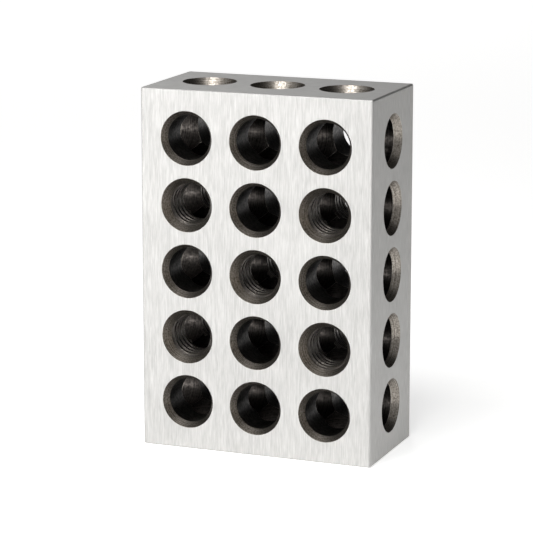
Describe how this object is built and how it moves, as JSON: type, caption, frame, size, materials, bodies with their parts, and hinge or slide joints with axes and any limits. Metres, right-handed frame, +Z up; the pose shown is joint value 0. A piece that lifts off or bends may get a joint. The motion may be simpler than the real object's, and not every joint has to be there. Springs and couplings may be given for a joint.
{
  "type": "machinist setup block",
  "caption": "Rectangular ground steel setup block with plain and tapped holes through all three directions, for raising, squaring and clamping work.",
  "frame": {"origin": "centre of the end face that the block stands on", "axes": "+Z up the three inch height, +X along the two inch width, +Y through the one inch thickness, away from the front face"},
  "size_m": [0.0508, 0.0254, 0.0762],
  "materials": {
    "ground_steel": "hardened tool steel, surface ground on all six faces, dark scale left in the bores"
  },
  "bodies": {
    "root": {"block": "ground_steel"}
  },
  "joints": []
}
